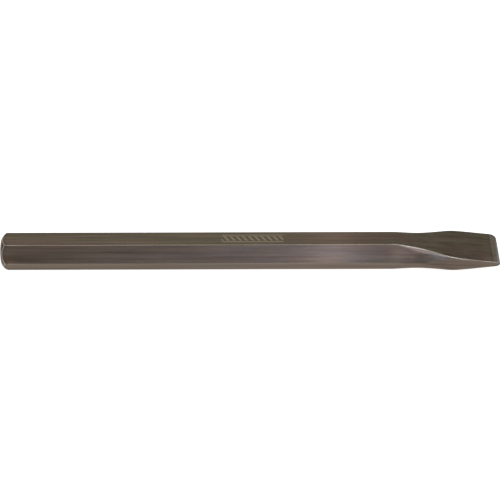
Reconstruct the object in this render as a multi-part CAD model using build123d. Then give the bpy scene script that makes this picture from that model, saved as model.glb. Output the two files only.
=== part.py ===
from build123d import *
from math import cos, radians, sin, sqrt, tan
import os

# A flat cold chisel, forged from one hexagonal bar. It lies on one flat of the bar.
# +X points along the tool to the cutting edge, Y runs across the blade, and +Z is up, square to the
# blade's broad faces. The origin is under the middle of the tool, on the surface that it lies on.
# All lengths are in millimetres and all angles are in degrees.

# Bar
overall_length = 300.0            # struck face to cutting edge
across_flats = 20.0               # hexagonal bar stock

# Struck head, turned to a rounded rim
struck_face_radius = 7.7          # flat disc that the hammer meets
rim_length = 3.2                  # from the struck face back to where the full hexagon begins
rim_mid_radius = 10.0             # a point that the round of the rim passes through
rim_mid_depth = 1.35

# Blade, drawn down to a wedge and spread sideways
blade_width = 26.0
taper_length = 62.4               # wedge, measured back from the cutting edge
taper_hollow = 0.15               # how far each broad face dips below a straight taper
shoulder_radius = 20.0            # softens the line where the taper leaves the bar
edge_thickness = 3.2              # between the broad faces, where the ground bevels begin
side_swell_start = 61.0           # the sides widen between these two distances from the edge
side_swell_end = 15.0
flank_swell_start = 54.0          # the bar's slanted flats lean out between these two distances
flank_swell_end = 11.5
flank_swell = 5.9                 # how far the flats' mid-height line moves outwards

# Cutting edge
bevel_half_angle = 38.0           # each side of the edge
edge_skew = 2.3                   # the ground bevels are turned this much about the tool's length
sharp_corner_radius = 0.8         # the blade's corner at -Y, in plan
worn_corner_radius = 4.1          # the blade's corner at +Y, in plan

# Worked out from the above
half_length = overall_length / 2
half_flats = across_flats / 2
corner_radius = across_flats / sqrt(3)
flat_lean = 30.0                  # slanted flats of a hexagon, from the vertical
bevel_length = edge_thickness / 2 / tan(radians(bevel_half_angle))
clear = across_flats              # how far cutting shapes reach past the metal


def s_curve(start, end, inner, outer):
    """A half-width line in plan that runs from inner to outer and is level at both ends."""
    third = (end - start) / 3
    return Bezier((start, inner), (start + third, inner), (end - third, outer), (end, outer))


def region_below(curve, far_x):
    """The area between an s_curve, carried on level to both ends of the tool, and y = -clear."""
    near_x = -half_length - clear
    first = curve @ 0
    last = curve @ 1
    outline = [
        Line((near_x, first.Y), first),
        curve,
        Polyline(last, (far_x, last.Y), (far_x, -clear), (near_x, -clear), (near_x, first.Y)),
    ]
    return make_face(outline)


def wedge():
    """Bar and blade seen from the side, as deep as the flats and wide enough for everything."""
    taper_start = half_length - taper_length
    bevel_start = half_length - bevel_length
    slope = (half_flats - edge_thickness / 2) / (bevel_start - taper_start)
    edge_height = edge_thickness / 2 - slope * bevel_length
    middle_x = (taper_start + half_length) / 2
    middle_height = (half_flats + edge_height) / 2 - taper_hollow
    top = Line((-half_length, half_flats), (taper_start, half_flats))
    face = ThreePointArc((taper_start, half_flats), (middle_x, middle_height), (half_length, edge_height))
    rest = Polyline((half_length, edge_height), (half_length, 0), (-half_length, 0), (-half_length, half_flats))
    upper = make_face([top, face, rest])
    shoulder = upper.vertices().sort_by_distance((taper_start, half_flats))[0]
    upper = fillet(shoulder, shoulder_radius)
    profile = upper + mirror(upper, Plane.XZ)
    return extrude(Plane.XZ * profile, amount=clear, both=True)


def blade_sides():
    """Bar and blade seen from above, with the two corners of the cutting edge rounded."""
    curve = s_curve(half_length - side_swell_start, half_length - side_swell_end, corner_radius, blade_width / 2)
    half = region_below(curve, half_length)
    plan = half & mirror(half, Plane.XZ)
    tip = plan.vertices().group_by(Axis.X)[-1].sort_by(Axis.Y)
    plan = fillet(tip[0], sharp_corner_radius)
    tip = plan.vertices().group_by(Axis.Y)[-1].sort_by(Axis.X)
    plan = fillet(tip[-1], worn_corner_radius)
    return extrude(plan, amount=clear, both=True)


def upper_flanks():
    """Room between the two slanted flats above the axis. They lean out as they reach the blade."""
    curve = s_curve(
        half_length - flank_swell_start,
        half_length - flank_swell_end,
        corner_radius,
        corner_radius + flank_swell,
    )
    region = region_below(curve, half_length + clear)
    lean = radians(flat_lean)
    far_side = extrude(region, amount=clear, dir=(0, -sin(lean), cos(lean)))
    return far_side & mirror(far_side, Plane.XZ)


def rounded_head():
    """The bar's whole length turned to the head's rim, so that only the head is cut."""
    rim_start = -half_length + rim_length
    arc = ThreePointArc(
        (-half_length, struck_face_radius),
        (-half_length + rim_mid_depth, rim_mid_radius),
        (rim_start, corner_radius),
    )
    rest = Polyline(
        (rim_start, corner_radius),
        (rim_start, clear),
        (half_length, clear),
        (half_length, 0),
        (-half_length, 0),
        (-half_length, struck_face_radius),
    )
    return revolve(make_face([arc, rest]), axis=Axis.X)


def ground_edge():
    """Everything behind the two ground bevels, turned a little about the near corner."""
    back_x = half_length - clear
    back_height = clear * tan(radians(bevel_half_angle))
    outline = Polyline(
        (half_length, 0),
        (back_x, back_height),
        (-half_length, back_height),
        (-half_length, -back_height),
        (back_x, -back_height),
        close=True,
    )
    block = extrude(Plane.XZ * make_face(outline), amount=2 * clear, both=True)
    near_corner = Axis((0, -blade_width / 2, 0), (1, 0, 0))
    return block.rotate(near_corner, edge_skew)


def chisel_body():
    """The whole tool, made about its own axis and then set down on its lowest flat."""
    upper = wedge() & upper_flanks()
    flanked = upper + mirror(upper, Plane.XY)
    body = flanked & blade_sides() & rounded_head() & ground_edge()
    return Pos(0, 0, half_flats) * body


os.makedirs("parts", exist_ok=True)
export_step(chisel_body(), "parts/chisel_body.step")
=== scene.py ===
from math import cos, pi, radians, sin, sqrt, tan

import bmesh
import bpy
import numpy as np
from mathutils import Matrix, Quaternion, Vector, noise


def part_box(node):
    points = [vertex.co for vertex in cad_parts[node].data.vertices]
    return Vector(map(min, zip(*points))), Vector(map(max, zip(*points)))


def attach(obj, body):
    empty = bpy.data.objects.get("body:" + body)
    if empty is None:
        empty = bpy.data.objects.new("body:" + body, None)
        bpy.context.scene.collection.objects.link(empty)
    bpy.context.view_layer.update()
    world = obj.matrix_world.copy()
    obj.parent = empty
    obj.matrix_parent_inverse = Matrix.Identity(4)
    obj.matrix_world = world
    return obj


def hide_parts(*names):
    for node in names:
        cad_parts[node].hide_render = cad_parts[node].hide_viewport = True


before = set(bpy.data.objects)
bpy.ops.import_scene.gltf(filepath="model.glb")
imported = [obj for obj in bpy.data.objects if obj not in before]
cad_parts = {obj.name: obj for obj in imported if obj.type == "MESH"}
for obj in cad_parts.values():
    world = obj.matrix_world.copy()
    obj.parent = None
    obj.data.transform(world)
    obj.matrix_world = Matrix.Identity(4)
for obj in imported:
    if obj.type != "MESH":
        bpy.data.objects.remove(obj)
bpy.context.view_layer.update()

# A cold chisel, forged from one hexagonal bar. It is shaped here in millimetres, about its own axis,
# and then set in the frame in metres. Places on the blade are distances from the cutting edge.
MM = 0.001
NODE = "chisel_body"

# Sizes that the frame gives
low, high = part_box(NODE)
HALF_LENGTH = (high.x - low.x) / 2 / MM
HALF_BLADE = (high.y - low.y) / 2 / MM
HALF_FLATS = (high.z - low.z) / 2 / MM
AXIS_HEIGHT = (high.z + low.z) / 2 / MM
COS30 = cos(radians(30))
TAN30 = tan(radians(30))
TAN15 = tan(radians(15))
CORNER = HALF_FLATS / COS30

# Head: the turned rim, as three points (distance from the struck face, radius)
STRUCK_FACE = (0.0, 7.7)
RIM_MIDDLE = (1.35, 10.0)
RIM_START = (3.2, CORNER)
RIM_BLEND = 0.3                   # softens the line where the rim cuts the flats
STRUCK_FACE_RINGS = (0.985, 0.93, 0.84, 0.7, 0.54, 0.38, 0.22, 0.08)

# Blade. A pair of distances is where a change starts and where it ends.
TAPER_START = 62.4
TAPER_HOLLOW = 0.15
SHOULDER_REACH = 1.4              # half the length over which the taper begins
EDGE_HALF_THICKNESS = 1.6         # where the ground bevels begin
SIDE_SWELL = (61.0, 15.0)
FLANK_SWELL = (54.0, 11.5)
FLANK_SPREAD = 5.9
FLANK_BULGE_ZONE = (68.0, 26.0)
FLANK_BULGE = 1.35                # the forged flanks are a little convex, most of all
FLANK_BULGE_LEAN = 1.5            # next to the broad face
FLANK_END = 1.5                   # softens the place where a flank runs out between face and side
LEAST_SIDE = 0.06                 # flat metal always left on a side
LEAST_FLANK = 0.15                # and on a flank, between their rounded edges

# Cutting edge
BEVEL_TAN = tan(radians(38.0))
BEVEL_SKEW = tan(radians(2.3))
EDGE_LAND = 0.12                  # flat left on the cutting edge
WORN_CORNER = 4.1                 # at +Y, in plan
SHARP_CORNER = 0.8                # at -Y, in plan

# Rounded long edges: crisp on the rolled bar, softer where the blade was forged
BAR_EDGE_RADIUS = 0.28
FORGED_EDGE_RADIUS = 0.45
BLADE_EDGE_RADIUS = 0.22
EDGES_SOFTEN = (60.0, 45.0)
EDGES_TIGHTEN = (40.0, 18.0)

# Unevenness left by rolling and forging
ROLLED_DEPTH = 0.02
FORGED_DEPTH = 0.05               # on top of the rolled depth
FORGED_DEPTH_ZONE = (75.0, 45.0)
FORGING_SCALE = (0.06, 0.12, 0.12)
LEAST_RADIUS = 3.0                # nearer to the axis, the unevenness shrinks with the radius

# One quarter of a ring of vertices runs from the middle of the top to the middle of the side
TOP, UPPER_ARC, FLANK, LOWER_ARC, SIDE = range(5)
STEPS = {TOP: 10, UPPER_ARC: 6, FLANK: 14, LOWER_ARC: 4, SIDE: 3}
CLUSTER = 0.9                     # how strongly the vertices of a flat gather at its edges

# Rings along the tool
HEAD_SPAN, HEAD_RINGS = 6.0, 64   # dense on the turned rim, from the struck face
BAR_START, BAR_STEP = 7.5, 1.5    # from the struck face
BAR_END = 66.0
BLADE_START, BLADE_RINGS = 65.5, 110
TIP_START = 7.0
TIP_PLACE = 6.0                   # the section here says how the tip's rings lean
TIP_RINGS = 22
TIP_LEAD = 0.05                   # gap before the tip's first ring, as a share of the tip
TIP_CLOSE = 0.004                 # all but the last ring are this much back, so that the last two are close
BEVEL_RINGS = 30
BEVEL_CROWDING = 0.8              # how strongly the bevel's rings gather at the cutting edge

WELD = 0.003                      # vertices nearer than this are one, which matters only at the tip's corners
SMOOTH_ANGLE = radians(24)

# Wear of the long edges, and the painted highlight along them
FORGED = (68.0, 56.0)
WEAR_PER_RADIUS = 0.8             # width of the worn line, which on the forged edges carries a painted highlight
LEAST_WEAR = 0.28
LOWER_EDGE_WEAR = 0.5
WIDE_HIGHLIGHT_PLACE, WIDE_HIGHLIGHT_REACH = 56.0, 7.0  # the worn line, with its painted highlight, is widest here
HIGHLIGHT_WIDENING = 0.6
DIM_PLACE = 34.0                 # the forged edge carries a painted highlight except here, where the highlight dims slowly on the bar's side and fast on the tip's
DIM_REACHES = (12.0, 3.5)        # comes slowly on the bar's side and fast on the tip's
DIMMING = 0.95
DIM_WEAR_LOSS = 0.55
HIGHLIGHT_FADE = (26.0, 15.0)        # the painted highlight fades between these distances
HIGHLIGHT_RETURN = (13.0, 6.0)       # and comes back between these
HIGHLIGHT_LOSS = 0.6
HEAD_HIGHLIGHT, HEAD_HIGHLIGHT_REACH = 0.4, 10.0      # painted highlight: the bar's edges brighter next to the struck face

# Patches: place, reach, and where they start and end across the flank (0 at the broad face, 1 at the side)
DARK_PATCH_PLACE, DARK_PATCH_REACH = 46.5, 7.5      # a dark patch low on the flank
DARK_PATCH_ACROSS = (0.35, 0.8)
TEMPER_PLACE, TEMPER_REACH = 36.0, 7.0    # bluish temper colour where the flank runs out
TEMPER_ACROSS = (1.0, 0.4)
SCORCH_PLACE, SCORCH_REACH = 4.5, 5.0     # brown tint low on the flank, from the struck face
SCORCH_ACROSS = (0.4, 0.9)
REFLECTION_PLACE, REFLECTION_REACH = 51.5, 13.0     # painted reflection of a lamp: the upper faces lighter here, measured from the tool's middle
UPPER_FLANK_OXIDE = 0.8
LOWER_FLANK_OXIDE = 0.3

# Hardened end, polished band behind the bevel, and the dark line behind the band
HARDENED_START = (38.0, 27.0)
HARDENED_END = (7.0, 12.0)
BAND_WIDTHS = (4.0, 2.1)          # at +Y and at -Y
BAND_SOFTNESS = 0.3
BAND_LINE = 0.35

# Rim: distances of a vertex past it, negative on the flats
RIM_ZONE = (-0.25, 0.15)
# width of the painted highlight line along the rim's edge
RIM_HIGHLIGHT_REACH = 0.26
RIM_SHADOW_PLACE, RIM_SHADOW_REACH = -1.0, 0.75
RIM_SHADOW_ON_FLATS = 0.35        # the rest of it is at the corners


def smoothstep(x, start, end):
    t = np.clip((x - start) / (end - start), 0, 1)
    return t * t * (3 - 2 * t)


def near(value, place, reach):
    """1 at a place, fading to 0 on both sides of it."""
    return np.exp(-((value - place) / reach) ** 2)


def from_edge(distance):
    """x of a place given by its distance from the cutting edge."""
    return HALF_LENGTH - distance


def change(x, zone):
    """0 before a zone and 1 past it. The zone is two distances from the cutting edge."""
    return smoothstep(x, from_edge(zone[0]), from_edge(zone[1]))


# ---- The chisel's shape ----------------------------------------------------------------------

def half_thickness(x):
    """From the axis to a broad face."""
    start = from_edge(TAPER_START)
    bevel_start = from_edge(EDGE_HALF_THICKNESS / BEVEL_TAN)
    slope = (HALF_FLATS - EDGE_HALF_THICKNESS) / (bevel_start - start)
    past = x - start
    eased = (np.clip(past, -SHOULDER_REACH, SHOULDER_REACH) + SHOULDER_REACH) ** 2 / (4 * SHOULDER_REACH)
    ramp = np.where(past > SHOULDER_REACH, past, eased)
    along = np.clip(past / TAPER_START, 0, 1)
    return HALF_FLATS - slope * ramp - 4 * TAPER_HOLLOW * along * (1 - along)


def side_half_width(x):
    """From the axis to the blade's side, in plan."""
    return CORNER + (HALF_BLADE - CORNER) * change(x, SIDE_SWELL)


def flank_half_width(x):
    """From the axis to where a slanted flank meets the mid-height plane."""
    return CORNER + FLANK_SPREAD * change(x, FLANK_SWELL)


def softer_minimum(a, b, reach):
    overlap = np.maximum(1 - np.abs(a - b) / reach, 0)
    return np.minimum(a, b) - reach / 4 * overlap ** 2


def corner_inset(x, radius):
    """How far a rounded corner of the cutting edge pulls the side in."""
    reach = np.clip(x - from_edge(radius), 0, radius)
    return radius - np.sqrt(radius ** 2 - reach ** 2)


def edge_radius(x):
    """Radius of the long edges."""
    swollen = BAR_EDGE_RADIUS + (FORGED_EDGE_RADIUS - BAR_EDGE_RADIUS) * change(x, EDGES_SOFTEN)
    return swollen + (BLADE_EDGE_RADIUS - FORGED_EDGE_RADIUS) * change(x, EDGES_TIGHTEN)


def edge_height(y):
    """Height of the cutting edge above the axis: the bevels are turned about the sharp corner."""
    return (y + HALF_BLADE) * BEVEL_SKEW


def bevel_depth(y, level):
    """From the cutting edge back to where a bevel begins. level runs from -1, the lower face, to +1."""
    slope = (HALF_FLATS - EDGE_HALF_THICKNESS) / TAPER_START
    thickness = EDGE_HALF_THICKNESS - slope * EDGE_HALF_THICKNESS / BEVEL_TAN
    upper = (thickness - edge_height(y)) / (BEVEL_TAN - slope)
    lower = (thickness + edge_height(y)) / (BEVEL_TAN - slope)
    share = (level + 1) / 2
    return lower + (upper - lower) * share


def rim_radius(x):
    """Radius of the turned head, a circular arc through its three points."""
    (x1, r1), (x2, r2), (x3, r3) = STRUCK_FACE, RIM_MIDDLE, RIM_START
    chords = np.array([[x2 - x1, r2 - r1], [x3 - x2, r3 - r2]])
    first = (x2 ** 2 - x1 ** 2 + r2 ** 2 - r1 ** 2) / 2
    second = (x3 ** 2 - x2 ** 2 + r3 ** 2 - r2 ** 2) / 2
    centre_x, centre_r = np.linalg.solve(chords, np.array([first, second]))
    radius = sqrt((x1 - centre_x) ** 2 + (r1 - centre_r) ** 2)
    depth = np.clip(x + HALF_LENGTH, 0, RIM_START[0])
    turned = centre_r + np.sqrt(radius ** 2 - (depth - centre_x) ** 2)
    return turned + np.maximum(x + HALF_LENGTH - RIM_START[0], 0)


def ring_layout():
    """kind, share, side and level of each vertex of a ring, from the top's middle round by +Y."""
    kinds, shares = [], []
    for kind, steps in STEPS.items():
        for step in range(steps):
            kinds.append(kind)
            shares.append(step / steps)
    quarter = len(kinds)
    kinds.append(SIDE)
    shares.append(1.0)
    order = [(i, 1, 1) for i in range(quarter)]
    order += [(i, 1, -1) for i in range(quarter, 0, -1)]
    order += [(i, -1, -1) for i in range(quarter)]
    order += [(i, -1, 1) for i in range(quarter, 0, -1)]
    index, side, level = (np.array(column) for column in zip(*order))
    return np.array(kinds)[index], np.array(shares)[index], side, level, quarter


def clustered(share):
    return share - CLUSTER * np.sin(2 * pi * share) / (2 * pi)


def flank_bulge(x, along):
    zone_start = from_edge(FLANK_BULGE_ZONE[0])
    zone_end = from_edge(FLANK_BULGE_ZONE[1])
    in_zone = np.clip((x - zone_start) / (zone_end - zone_start), 0, 1)
    lean = 1 + FLANK_BULGE_LEAN * (1 - along)
    return FLANK_BULGE * np.sin(pi * in_zone) ** 2 * along * (1 - along) * lean


def section(x, kind, share, side):
    """y and z of ring vertices, taken in the quarter where both are positive, and their distances
    from the quarter's upper and lower long edges."""
    thick = half_thickness(x)
    rho = edge_radius(x)
    flank = flank_half_width(x)
    least_side = rho * TAN15 + LEAST_SIDE
    least_flank = rho * (TAN30 + TAN15) + LEAST_FLANK
    b = np.minimum(side_half_width(x), flank - least_side * TAN30)
    h = softer_minimum((flank - b) / TAN30, thick - least_flank * COS30, FLANK_END)
    a = b - (thick - h) * TAN30
    inset = corner_inset(x, np.where(side > 0, WORN_CORNER, SHARP_CORNER))
    a = a - inset
    b = b - inset

    # Upper edge, at (a, thick)
    top_y = a - rho * TAN30
    turn = radians(90) - radians(60) * share
    upper_y = top_y + rho * np.cos(turn)
    upper_z = thick - rho + rho * np.sin(turn)

    # Lower edge, at (b, h)
    side_z = h - rho * TAN15
    turn = radians(30) * (1 - share)
    lower_y = b - rho + rho * np.cos(turn)
    lower_z = side_z + rho * np.sin(turn)

    # Flank, from one edge to the other
    start_y = top_y + rho * COS30
    start_z = thick - rho / 2
    end_y = b - rho + rho * COS30
    end_z = side_z + rho / 2
    along = clustered(share)
    bulge = flank_bulge(x, along)
    flank_y = start_y + (end_y - start_y) * along + bulge * COS30
    flank_z = start_z + (end_z - start_z) * along + bulge / 2

    top_share = 2 * clustered(0.5 + share / 2) - 1
    y = np.choose(kind, [top_y * top_share, upper_y, flank_y, lower_y, b])
    z = np.choose(kind, [thick, upper_z, flank_z, lower_z, side_z * (1 - share)])
    return y, z, np.hypot(y - a, z - thick), np.hypot(y - b, z - h)


def stations(kind, share, side, level):
    """x of every ring vertex, and the row where the bevels begin. Rings are square to the axis
    except at the tip, where they follow the bevels."""
    count = len(kind)
    head = -HALF_LENGTH + HEAD_SPAN * (1 - np.cos(np.linspace(0, pi / 2, HEAD_RINGS)))
    bar = np.arange(-HALF_LENGTH + BAR_START, from_edge(BAR_END), BAR_STEP)
    tip_start = from_edge(TIP_START)
    blade = np.linspace(from_edge(BLADE_START), tip_start, BLADE_RINGS)
    straight = np.concatenate([head, bar, blade])
    rows = np.repeat(straight[:, None], count, axis=1)

    at = np.full(count, from_edge(TIP_PLACE))
    y, z, _, _ = section(at, kind, share, side)
    height = level * z / half_thickness(at)
    depth = bevel_depth(side * y, height)
    to_bevel = np.concatenate([np.linspace(TIP_LEAD, 1, TIP_RINGS) - TIP_CLOSE, [1.0]])
    even = np.linspace(0, 1, BEVEL_RINGS)[1:]
    on_bevel = BEVEL_CROWDING * np.sin(even * pi / 2) + (1 - BEVEL_CROWDING) * even
    before = tip_start + (from_edge(depth) - tip_start) * to_bevel[:, None]
    after = from_edge(depth) + depth * on_bevel[:, None]
    return np.concatenate([rows, before, after]), len(straight) + len(to_bevel) - 1


def ground_to_bevels(x, y, z):
    """z after the two ground bevels have squeezed the section towards the cutting edge."""
    thick = half_thickness(x)
    room = (HALF_LENGTH - x) * BEVEL_TAN + EDGE_LAND / 2
    upper = np.minimum(thick, edge_height(y) + room)
    lower = np.maximum(-thick, edge_height(y) - room)
    return (upper + lower) / 2 + z / thick * (upper - lower) / 2


def turned_scale(radius, rim):
    """How much a vertex is pulled towards the axis: whatever stands out of the rim is cut back to it."""
    blend = np.clip(0.5 + (rim - radius) / (2 * RIM_BLEND), 0, 1)
    turned = rim * (1 - blend) + radius * blend - RIM_BLEND * blend * (1 - blend)
    return np.minimum(turned / radius, 1)


def unevenness(x, y, z):
    """Depth of the slow, shallow marks of forging. The bar itself is rolled and nearly true."""
    depth = ROLLED_DEPTH + FORGED_DEPTH * change(x, FORGED_DEPTH_ZONE)
    along, across, up = FORGING_SCALE
    marks = np.zeros(x.shape)
    for i in range(x.shape[0]):
        for k in range(x.shape[1]):
            place = Vector((x[i, k] * along, y[i, k] * across, z[i, k] * up))
            marks[i, k] = noise.noise(place) * 0.5 + 0.5
    return depth * np.clip(marks, 0, 1)


# ---- Masks that the material reads, from 0 to 1 ------------------------------------------------

def edge_masks(x, to_upper, to_lower, past_rim):
    """Where the long edges are worn, and how strong the painted highlight on them is there."""
    forged = change(x, FORGED)
    from_tip = HALF_LENGTH - x
    widened = 1 + HIGHLIGHT_WIDENING * near(from_tip, WIDE_HIGHLIGHT_PLACE, WIDE_HIGHLIGHT_REACH)
    reach = np.maximum(WEAR_PER_RADIUS * edge_radius(x), LEAST_WEAR) * widened
    dim_reach = np.where(from_tip > DIM_PLACE, DIM_REACHES[0], DIM_REACHES[1])
    dim = near(from_tip, DIM_PLACE, dim_reach)
    faded = smoothstep(from_tip, *HIGHLIGHT_FADE) - smoothstep(from_tip, *HIGHLIGHT_RETURN)
    highlit = (1 - DIMMING * dim) * (1 - HIGHLIGHT_LOSS * faded)
    lower_wear = (1 - forged) * LOWER_EDGE_WEAR * near(to_lower, 0, reach)
    wear_and_highlight = np.maximum(near(to_upper, 0, reach), lower_wear)
    return {
        "wear_and_highlight": wear_and_highlight * (1 - DIM_WEAR_LOSS * dim) * (1 - smoothstep(past_rim, *RIM_ZONE)),
        # painted highlight on the forged edges, and on the bar's edges next to the struck face
        "ridge_highlight": forged * highlit + HEAD_HIGHLIGHT * near(x, -HALF_LENGTH, HEAD_HIGHLIGHT_REACH),
    }


def flat_masks(x, kind, share, level):
    """Tints and shades of the bar's flats, flanks and sides, among them a painted reflection on the upper
    faces and painted shade on the blade's sides.
    """
    every_row = np.ones(x.shape)
    from_tip = HALF_LENGTH - x
    from_head = x + HALF_LENGTH
    upper_flank = (kind == FLANK) & (level > 0)
    dark_patch = near(from_tip, DARK_PATCH_PLACE, DARK_PATCH_REACH) * smoothstep(share, *DARK_PATCH_ACROSS)
    tempered = near(from_tip, TEMPER_PLACE, TEMPER_REACH) * smoothstep(share, *TEMPER_ACROSS)
    scorched = near(from_head, SCORCH_PLACE, SCORCH_REACH) * smoothstep(share, *SCORCH_ACROSS)
    oxide = np.where(level > 0, UPPER_FLANK_OXIDE, LOWER_FLANK_OXIDE)
    return {
        # a darker patch low on the upper flank
        "dark_patch": dark_patch * upper_flank,
        "tempered": tempered * upper_flank,
        "scorched": scorched * upper_flank,
        # painted reflection of a lamp, lighter on the upper faces about the tool's middle
        "painted_reflection": near(x, REFLECTION_PLACE, REFLECTION_REACH) * (level > 0),
        "flank": every_row * (kind == FLANK) * oxide,
        # the blade's sides: an umber tint, and darkened further as painted shade
        "side": change(x, FORGED) * (kind == SIDE),
        "marked_flat": every_row * ((kind == TOP) & (level > 0)),
    }


def blade_masks(x, y, kind, bevel_row):
    """The hardened end, the ground bevels, and the band and dark line behind them."""
    on_face = (kind == TOP) | (kind == UPPER_ARC)
    rows = np.arange(x.shape[0])[:, None]
    across = (y + HALF_BLADE) / (2 * HALF_BLADE)
    band = BAND_WIDTHS[1] + (BAND_WIDTHS[0] - BAND_WIDTHS[1]) * across
    behind = x[bevel_row][None, :] - x
    return {
        "hardened": change(x, HARDENED_START) * change(x, HARDENED_END) * on_face,
        "ground": ((rows >= bevel_row) & on_face[None, :]).astype(float),
        "band": smoothstep(behind, band, band - BAND_SOFTNESS) * on_face,
        "band_line": near(behind - band, BAND_LINE, BAND_LINE) * on_face,
    }


def rim_masks(radius, past_rim):
    """The turned rim, the painted highlight line at its edge, and the dark shadow on the flats next to it."""
    corner = np.clip((radius - HALF_FLATS) / (CORNER - HALF_FLATS), 0, 1)
    at_corners = RIM_SHADOW_ON_FLATS + (1 - RIM_SHADOW_ON_FLATS) * corner
    return {
        "rim": smoothstep(past_rim, *RIM_ZONE),
        "rim_highlight": near(past_rim, 0, RIM_HIGHLIGHT_REACH),
        "rim_shadow": near(past_rim, RIM_SHADOW_PLACE, RIM_SHADOW_REACH) * at_corners,
    }


# ---- The chisel's mesh -------------------------------------------------------------------------

def chisel_vertices():
    """Vertex positions, one row per ring, and the masks."""
    kind, share, side, level, quarter = ring_layout()
    x, bevel_row = stations(kind, share, side, level)
    y, z, to_upper, to_lower = section(x, kind, share, side)
    y = y * side
    z = ground_to_bevels(x, y, z * level)
    radius = np.hypot(y, z)
    rim = rim_radius(x)

    # Unevenness only ever takes metal away, so that the size stays that of the frame
    scale = turned_scale(radius, rim) * (1 - unevenness(x, y, z) / np.maximum(radius, LEAST_RADIUS))
    y = y * scale
    z = z * scale

    masks = {
        **edge_masks(x, to_upper, to_lower, radius - rim),
        **flat_masks(x, kind, share, level),
        **blade_masks(x, y, kind, bevel_row),
        **rim_masks(radius, radius - rim),
    }
    return np.stack([x, y, z + AXIS_HEIGHT], axis=-1), masks, quarter


def close_struck_face(points, faces, around):
    """Shrinking rings and a centre, added to points and faces."""
    previous = list(range(around))
    for share in STRUCK_FACE_RINGS:
        ring = []
        for k in range(around):
            x, y, z = points[k]
            ring.append(len(points))
            points.append((x, y * share, AXIS_HEIGHT + (z - AXIS_HEIGHT) * share))
        for k in range(around):
            n = (k + 1) % around
            faces.append((ring[k], previous[k], previous[n], ring[n]))
        previous = ring
    centre = len(points)
    points.append((-HALF_LENGTH, 0.0, AXIS_HEIGHT))
    for k in range(around):
        faces.append((centre, previous[k], previous[(k + 1) % around]))


def cutting_edge_faces(last, quarter):
    """A narrow land between the two bevels, in quads, with a rounded end at each side."""
    around = 4 * quarter
    flat = STEPS[TOP]
    above = [k % around for k in range(-flat, flat + 1)]
    below = [2 * quarter - k for k in range(-flat, flat + 1)]
    land = [(above[i], below[i], below[i + 1], above[i + 1]) for i in range(2 * flat)]
    land.append((flat, *range(2 * quarter - flat, flat, -1)))
    land.append(tuple(range(around - flat, 2 * quarter + flat - 1, -1)))
    return [tuple(last + k for k in face) for face in land]


def weld(mesh):
    """Joins the vertices that meet at the tip's corners."""
    welded = bmesh.new()
    welded.from_mesh(mesh)
    bmesh.ops.remove_doubles(welded, verts=welded.verts, dist=WELD * MM)
    welded.to_mesh(mesh)
    welded.free()


def chisel_mesh():
    """The rings joined into one closed mesh, with the struck face and the cutting edge closed."""
    rings, masks, quarter = chisel_vertices()
    count, around = rings.shape[:2]
    points = [tuple(p) for p in rings.reshape(-1, 3)]
    faces = []
    for i in range(count - 1):
        for k in range(around):
            n = (k + 1) % around
            faces.append((i * around + k, (i + 1) * around + k, (i + 1) * around + n, i * around + n))
    close_struck_face(points, faces, around)
    faces += cutting_edge_faces((count - 1) * around, quarter)

    mesh = bpy.data.meshes.new("chisel")
    mesh.from_pydata([(x * MM, y * MM, z * MM) for x, y, z in points], [], faces)
    for name, mask in masks.items():
        on_struck_face = np.full(len(points) - mask.size, 1.0 if name == "rim" else 0.0)
        attribute = mesh.attributes.new(name, "FLOAT", "POINT")
        attribute.data.foreach_set("value", np.append(mask.ravel(), on_struck_face).astype(np.float32))
    weld(mesh)
    mesh.polygons.foreach_set("use_smooth", [True] * len(mesh.polygons))
    mesh.set_sharp_from_angle(angle=SMOOTH_ANGLE)
    mesh.validate()
    mesh.update()
    return mesh


# ---- Steel -------------------------------------------------------------------------------------

OLIVE = (0.129, 0.110, 0.076, 1)
BROWN = (0.148, 0.108, 0.082, 1)
UMBER = (0.118, 0.091, 0.075, 1)
PURPLE = (0.154, 0.116, 0.108, 1)
SLATE = (0.134, 0.116, 0.120, 1)
WORN = (0.235, 0.205, 0.175, 1)
# BRIGHT is the painted highlight on the edges and along the rim, and the worn ring round the struck face
BRIGHT = (0.62, 0.585, 0.555, 1)
TEMPERED = (0.205, 0.198, 0.196, 1)
SCORCHED = (0.215, 0.128, 0.082, 1)
BARE = (0.225, 0.225, 0.223, 1)
BAND = (0.215, 0.182, 0.148, 1)
DARK = (0.060, 0.050, 0.042, 1)
ETCHED = (0.29, 0.235, 0.165, 1)
EDGE_TINT = (0.66, 0.62, 0.58, 1)         # the steel seen at a grazing angle

# Noise patterns: how fast each changes along X, Y and Z (per metre), its detail and its roughness
BLOTCHES = (14, 130, 130), 4.0, 0.55
STREAKS = (12, 460, 460), 4.0, 0.65
SCRATCHES = (60, 5200, 5200), 2.0, 0.6
TINGE = (30, 260, 260), 3.0, 0.55
GRINDING = (260, 3600, 260), 4.0, 0.65

# The same without a direction: one scale (per metre), detail and roughness
FINE = 2600.0, 3.0, 0.55
TURNING = 2600.0, 3.0, 0.65
FAINT_SPOTS = 1500.0, 4.0, 0.7            # on the struck face
STRONG_SPOTS = 900.0, 4.0, 0.7            # on the rim

# Tints laid over the oxide where a mask says, with their strengths
TINTS = (
    ("side", 0.6, UMBER),
    ("tempered", 0.7, TEMPERED),
    ("scorched", 0.6, SCORCHED),
    ("dark_patch", 0.85, DARK),
)
UMBER_FADE = (-0.12, -0.01)               # the flanks turn from umber to purple between these, in metres

# Parts of a noise's range over which a change happens: the narrower, the crisper
MIDDLE = (0.3, 0.7)
BLOTCH_CHANGE = (0.42, 0.60)
TINGE_CHANGE = (0.40, 0.60)
SCRATCH_CHANGE = (0.2, 0.8)
WEAR_CHANGE = (0.3, 0.6)
ROUGHNESS_CHANGE = (0.25, 0.75)
FAINT_CHANGE = (0.35, 0.65)
STRONG_CHANGE = (0.41, 0.59)

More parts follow.
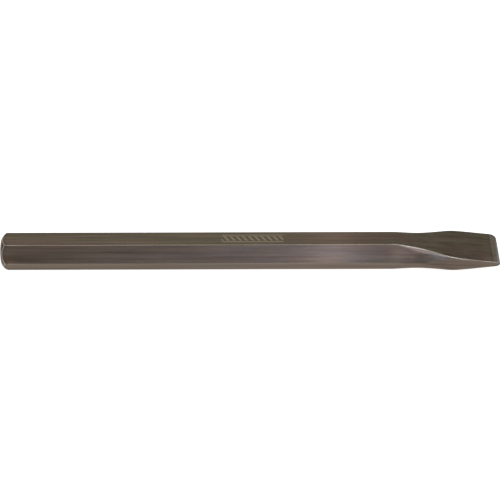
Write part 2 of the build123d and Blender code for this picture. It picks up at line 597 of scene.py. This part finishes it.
# Brightness: what a pattern or a mask multiplies the colour by
STREAK_SHADE = (0.70, 1.30)
SCRATCH_SHADE = (0.85, 1.15)
FINE_SHADE = (0.95, 1.05)
TURNING_SHADE = (0.70, 1.30)
GRINDING_SHADE = (0.68, 1.32)
# the lighter upper faces are a painted reflection of a lamp, and the darker blade sides are painted shade
MASK_SHADES = (("hardened", 0.86), ("painted_reflection", 1.25), ("side", 0.84))

# Strengths, each as a pair where a pattern varies it
SPOTS_RANGE = (0.4, 0.9)                  # on the struck face
STRONG_SPOTS_RANGE = (0.2, 1.0)           # on the rim
FACE_EDGE_STRENGTH = (0.42, 0.12)
FACE_EDGE_WIDTH = 0.0004                  # metres on each side of the struck face's edge
BAND_STRENGTH = (0.5, 0.9)
BAND_LINE_STRENGTH = 0.45
WEAR_STRENGTH = (0.5, 0.8)
RIM_SHADOW_STRENGTH = 0.9
RIM_HIGHLIGHT_STRENGTH = (0.65, 0.3)
MARK_STRENGTH = 0.8

ROUGHNESS = (0.20, 0.27)
WEAR_SMOOTHING = 0.05
MARK_ROUGHENING = 0.08
ANISOTROPY = 0.8

# Depth of the relief, in metres
SCRATCH_DEPTH = 0.000006
PIT_DEPTH = 0.000003
TURNING_DEPTH = 0.000012
GRINDING_DEPTH = 0.000012
RELIEF_STRENGTH = 0.6

# Etched mark on the upper flat: slanted ticks between two lines (metres, about the middle of the tool)
MARK_START, MARK_END = -0.017, 0.020
MARK_HALF_HEIGHT = 0.0030
MARK_LINE = 0.00035
TICK_PITCH = 0.0037
TICK_SHARE = 0.36
TICK_SLANT = 0.7
TICK_REACH = 0.66                         # share of the mark's half height


class Nodes:
    """Short calls for building a material's node tree."""

    def __init__(self, material):
        material.use_nodes = True
        self.tree = material.node_tree
        self.tree.nodes.clear()

    def put(self, socket, value):
        """Links a socket to another one, or sets its value."""
        if isinstance(value, bpy.types.NodeSocket):
            self.tree.links.new(value, socket)
        else:
            socket.default_value = value

    def add(self, kind, inputs=None, **settings):
        node = self.tree.nodes.new("ShaderNode" + kind)
        for name, value in settings.items():
            setattr(node, name, value)
        for name, value in (inputs or {}).items():
            self.put(node.inputs[name], value)
        return node

    def math(self, operation, a, b=0.0, c=0.0, clamp=False):
        return self.add("Math", {0: a, 1: b, 2: c}, operation=operation, use_clamp=clamp).outputs[0]

    def times(self, a, b):
        return self.math("MULTIPLY", a, b)

    def plus(self, a, b):
        return self.math("ADD", a, b)

    def minus(self, a, b, clamp=False):
        return self.math("SUBTRACT", a, b, clamp=clamp)

    def mask(self, name):
        return self.add("Attribute", attribute_name=name).outputs["Fac"]

    def noise(self, vector, scale, detail, roughness):
        inputs = {"Vector": vector, "Scale": scale, "Detail": detail, "Roughness": roughness}
        return self.add("TexNoise", inputs).outputs["Fac"]

    def stretched_noise(self, vector, scale, detail, roughness):
        stretched = self.add("Mapping", {"Vector": vector, "Scale": scale}).outputs[0]
        return self.noise(stretched, 1.0, detail, roughness)

    def remap(self, value, from_low, from_high, to_low=0.0, to_high=1.0):
        inputs = {0: value, 1: from_low, 2: from_high, 3: to_low, 4: to_high}
        return self.add("MapRange", inputs, clamp=True).outputs[0]

    def mix(self, factor, a, b, blend="MIX"):
        node = self.add("Mix", data_type="RGBA", blend_type=blend)
        for index, value in ((0, factor), (6, a), (7, b)):
            self.put(node.inputs[index], value)
        return node.outputs[2]

    def shaded(self, colour, shade):
        """A colour multiplied by one number."""
        grey = self.add("CombineColor", {0: shade, 1: shade, 2: shade}).outputs[0]
        return self.mix(1.0, colour, grey, "MULTIPLY")

    def surface(self, inputs):
        shader = self.add("BsdfPrincipled", inputs)
        self.add("OutputMaterial", {"Surface": shader.outputs[0]})


def from_axis(n, y, z):
    """Distance from the tool's long axis, in metres."""
    above = n.minus(z, AXIS_HEIGHT * MM)
    return n.math("SQRT", n.plus(n.times(y, y), n.times(above, above)))


def etched_mark(n, x, y):
    """1 on the etched lines and ticks, 0 elsewhere."""
    off_axis = n.math("ABSOLUTE", y)
    inside_ends = n.math("COMPARE", x, (MARK_START + MARK_END) / 2, (MARK_END - MARK_START) / 2)
    line = n.math("COMPARE", off_axis, MARK_HALF_HEIGHT, MARK_LINE)
    slanted = n.math("DIVIDE", n.plus(x, n.times(y, TICK_SLANT)), TICK_PITCH)
    tick = n.math("LESS_THAN", n.math("FRACT", slanted), TICK_SHARE)
    tick = n.times(tick, n.math("LESS_THAN", off_axis, MARK_HALF_HEIGHT * TICK_REACH))
    return n.times(inside_ends, n.math("MAXIMUM", line, tick))


def oxide_colour(n, place, x, blotch):
    """Brown and olive blotches, purple and slate on the flanks, umber on the blade's sides, the tints of
    heat, and a dark patch low on the flank.
    """
    colour = n.mix(n.remap(blotch, *BLOTCH_CHANGE), OLIVE, BROWN)
    tinge = n.remap(n.stretched_noise(place, *TINGE), *TINGE_CHANGE)
    flank = n.mix(n.remap(x, *UMBER_FADE), UMBER, n.mix(tinge, PURPLE, SLATE))
    colour = n.mix(n.mask("flank"), colour, flank)
    for name, strength, tint in TINTS:
        colour = n.mix(n.times(n.mask(name), strength), colour, tint)
    return colour


def brushed_shade(n, streak, scratch, fine):
    """Brightness of the lengthwise streaks and scratches, and of the regions that are darker or lighter."""
    streaks = n.remap(streak, *MIDDLE, *STREAK_SHADE)
    scratches = n.remap(scratch, *SCRATCH_CHANGE, *SCRATCH_SHADE)
    shade = n.times(n.times(streaks, scratches), n.remap(fine, *MIDDLE, *FINE_SHADE))
    for name, factor in MASK_SHADES:
        shade = n.times(shade, n.remap(n.mask(name), 0.0, 1.0, 1.0, factor))
    return shade


def head_spots(n, place, radius):
    """Dark spots, faint on the struck face and strong on the rim round it."""
    faint = n.remap(n.noise(place, *FAINT_SPOTS), *FAINT_CHANGE, *SPOTS_RANGE)
    strong = n.remap(n.noise(place, *STRONG_SPOTS), *STRONG_CHANGE, *STRONG_SPOTS_RANGE)
    off_disc = n.math("GREATER_THAN", radius, STRUCK_FACE[1] * MM)
    return n.math("MULTIPLY_ADD", n.minus(strong, faint), off_disc, faint)


def head_colour(n, colour, spots, turning, x, radius):
    """Spots and turning marks on the head, and the worn ring at the edge of the struck face."""
    colour = n.mix(n.times(n.mask("rim"), spots), colour, DARK)
    turned = n.shaded(colour, n.remap(turning, *MIDDLE, *TURNING_SHADE))
    colour = n.mix(n.mask("rim"), colour, turned)
    off_ring = n.math("ABSOLUTE", n.minus(radius, STRUCK_FACE[1] * MM))
    ring = n.minus(1.0, n.math("DIVIDE", off_ring, FACE_EDGE_WIDTH), clamp=True)
    ring = n.times(ring, n.math("LESS_THAN", x, low.x + MM))
    return n.mix(n.times(ring, n.remap(spots, *SPOTS_RANGE, *FACE_EDGE_STRENGTH)), colour, BRIGHT)


def wear_and_painted_light(n, colour, spots, wear_and_highlight, streak):
    """The polished band and its dark line, the worn long edges with their painted highlight, and the shadow
    and the painted highlight line at the rim.
    """
    band = n.times(n.mask("band"), n.remap(streak, *MIDDLE, *BAND_STRENGTH))
    colour = n.mix(band, colour, BAND)
    colour = n.mix(n.times(n.mask("band_line"), BAND_LINE_STRENGTH), colour, DARK)
    # worn edges; on the forged edges and next to the struck face they carry a painted highlight
    colour = n.mix(wear_and_highlight, colour, n.mix(n.mask("ridge_highlight"), WORN, BRIGHT))
    shadow = n.times(n.mask("rim_shadow"), n.times(spots, RIM_SHADOW_STRENGTH))
    colour = n.mix(shadow, colour, DARK)
    # a painted highlight along the crease between the rim and the flats
    line = n.times(n.mask("rim_highlight"), n.remap(spots, *SPOTS_RANGE, *RIM_HIGHLIGHT_STRENGTH))
    return n.mix(line, colour, BRIGHT)


def relief(n, scratch, fine, turning, grinding):
    """Scratches and pits everywhere, turning marks on the head and grinding marks on the bevels."""
    brushed = n.plus(n.times(scratch, SCRATCH_DEPTH), n.times(fine, PIT_DEPTH))
    turned = n.times(n.times(turning, n.mask("rim")), TURNING_DEPTH)
    ground = n.times(n.times(grinding, n.mask("ground")), GRINDING_DEPTH)
    height = n.plus(brushed, n.plus(turned, ground))
    inputs = {"Height": height, "Strength": RELIEF_STRENGTH, "Distance": 1.0}
    return n.add("Bump", inputs).outputs[0]


def steel_material():
    """Dark burnished tool steel, brushed lengthwise, with worn edges and bare ground bevels."""
    material = bpy.data.materials.new("forged_steel")
    n = Nodes(material)
    place = n.add("TexCoord").outputs["Object"]
    x, y, z = n.add("SeparateXYZ", {0: place}).outputs
    radius = from_axis(n, y, z)
    blotch = n.stretched_noise(place, *BLOTCHES)
    streak = n.stretched_noise(place, *STREAKS)
    scratch = n.stretched_noise(place, *SCRATCHES)
    grinding = n.stretched_noise(place, *GRINDING)
    fine = n.noise(place, *FINE)
    turning = n.noise(n.add("CombineXYZ", {0: radius}).outputs[0], *TURNING)
    spots = head_spots(n, place, radius)
    wear_and_highlight = n.times(n.mask("wear_and_highlight"), n.remap(blotch, *WEAR_CHANGE, *WEAR_STRENGTH))
    mark = n.times(etched_mark(n, x, y), n.mask("marked_flat"))

    colour = n.shaded(oxide_colour(n, place, x, blotch), brushed_shade(n, streak, scratch, fine))
    colour = head_colour(n, colour, spots, turning, x, radius)
    colour = wear_and_painted_light(n, colour, spots, wear_and_highlight, streak)
    colour = n.mix(n.times(mark, MARK_STRENGTH), colour, ETCHED)
    bare = n.shaded(BARE, n.remap(grinding, *MIDDLE, *GRINDING_SHADE))
    colour = n.mix(n.mask("ground"), colour, bare)

    rough = n.remap(scratch, *ROUGHNESS_CHANGE, *ROUGHNESS)
    rough = n.minus(rough, n.times(wear_and_highlight, WEAR_SMOOTHING))
    rough = n.plus(rough, n.times(mark, MARK_ROUGHENING))
    n.surface({
        "Base Color": colour,
        "Roughness": rough,
        "Metallic": 1.0,
        "Normal": relief(n, scratch, fine, turning, grinding),
        "Anisotropic": ANISOTROPY,
        "Tangent": n.add("Tangent", direction_type="RADIAL", axis="X").outputs[0],
        "Specular Tint": EDGE_TINT,
    })
    return material


# ---- Stage ------------------------------------------------------------------------------------

FLOOR_HALF = 4.0
FLOOR_GAP = 0.0001                # below the tool
FLOOR_GREY = (0.45, 0.45, 0.45, 1)
FLOOR_ROUGHNESS = 0.95
FLOOR_SHINE = 0.1
FLOOR_GLOW = 0.9
WHITE = (1, 1, 1, 1)
WORLD_STRENGTH = 0.58

# Lights, aimed at the tool's middle: name, place, size (metres) and power (watts)
LIGHTS = (
    ("overhead", (0, -0.1, 1.4), (1.4, 0.6), 9),
    ("front_high", (0.08, -1.12, 1.1), (0.6, 0.25), 1.9),
    ("front_low", (0.12, -1.52, 0.5), (0.08, 0.25), 0.14),
    ("back", (-0.65, 1.3, 1.35), (1.8, 1.2), 1.3),
)

CAMERA_ELEVATION = radians(41.9)
CAMERA_DISTANCE = 0.910
CAMERA_RAISE = 0.00046            # aims this far above the tool's axis, in the picture
CAMERA_ROLL = radians(-0.16)
CAMERA_LENS = 108.26
CAMERA_SENSOR = 36


def add_object(name, data):
    obj = bpy.data.objects.new(name, data)
    bpy.context.scene.collection.objects.link(obj)
    return obj


def floor_material():
    material = bpy.data.materials.new("pale_floor")
    n = Nodes(material)
    n.surface({
        "Base Color": FLOOR_GREY,
        "Roughness": FLOOR_ROUGHNESS,
        "Specular IOR Level": FLOOR_SHINE,
        "Emission Color": WHITE,
        "Emission Strength": FLOOR_GLOW,
    })
    return material


def build_floor():
    mesh = bpy.data.meshes.new("floor")
    corners = [(-1, -1), (1, -1), (1, 1), (-1, 1)]
    mesh.from_pydata([(x * FLOOR_HALF, y * FLOOR_HALF, 0) for x, y in corners], [], [(0, 1, 2, 3)])
    mesh.materials.append(floor_material())
    floor = add_object("floor", mesh)
    floor.location.z = low.z - FLOOR_GAP


def build_lights():
    middle = Vector((0, 0, AXIS_HEIGHT * MM))
    for name, place, size, power in LIGHTS:
        data = bpy.data.lights.new(name, "AREA")
        data.shape = "RECTANGLE"
        data.size, data.size_y = size
        data.energy = power
        light = add_object(name, data)
        light.location = place
        light.rotation_mode = "QUATERNION"
        light.rotation_quaternion = (middle - Vector(place)).to_track_quat("-Z", "Y")


def build_world():
    world = bpy.data.worlds.new("studio")
    world.use_nodes = True
    background = world.node_tree.nodes["Background"]
    background.inputs[0].default_value = WHITE
    background.inputs[1].default_value = WORLD_STRENGTH
    bpy.context.scene.world = world


def build_camera():
    """Looks down on the tool, square to its length."""
    data = bpy.data.cameras.new("camera")
    data.sensor_width = CAMERA_SENSOR
    data.lens = CAMERA_LENS
    camera = add_object("camera", data)
    back = Vector((0, -cos(CAMERA_ELEVATION), sin(CAMERA_ELEVATION)))
    up = Vector((0, sin(CAMERA_ELEVATION), cos(CAMERA_ELEVATION)))
    aim = Vector((0, 0, AXIS_HEIGHT * MM)) + up * CAMERA_RAISE
    camera.location = aim + back * CAMERA_DISTANCE
    camera.rotation_mode = "QUATERNION"
    roll = Quaternion((0, 0, 1), CAMERA_ROLL)
    camera.rotation_quaternion = (-back).to_track_quat("-Z", "Y") @ roll
    bpy.context.scene.camera = camera


def build_chisel():
    mesh = chisel_mesh()
    mesh.materials.append(steel_material())
    chisel = add_object("chisel", mesh)
    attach(chisel, "root")
    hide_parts(NODE)


build_camera()
build_lights()
build_world()
build_floor()
build_chisel()
bpy.context.scene.view_settings.view_transform = "Standard"
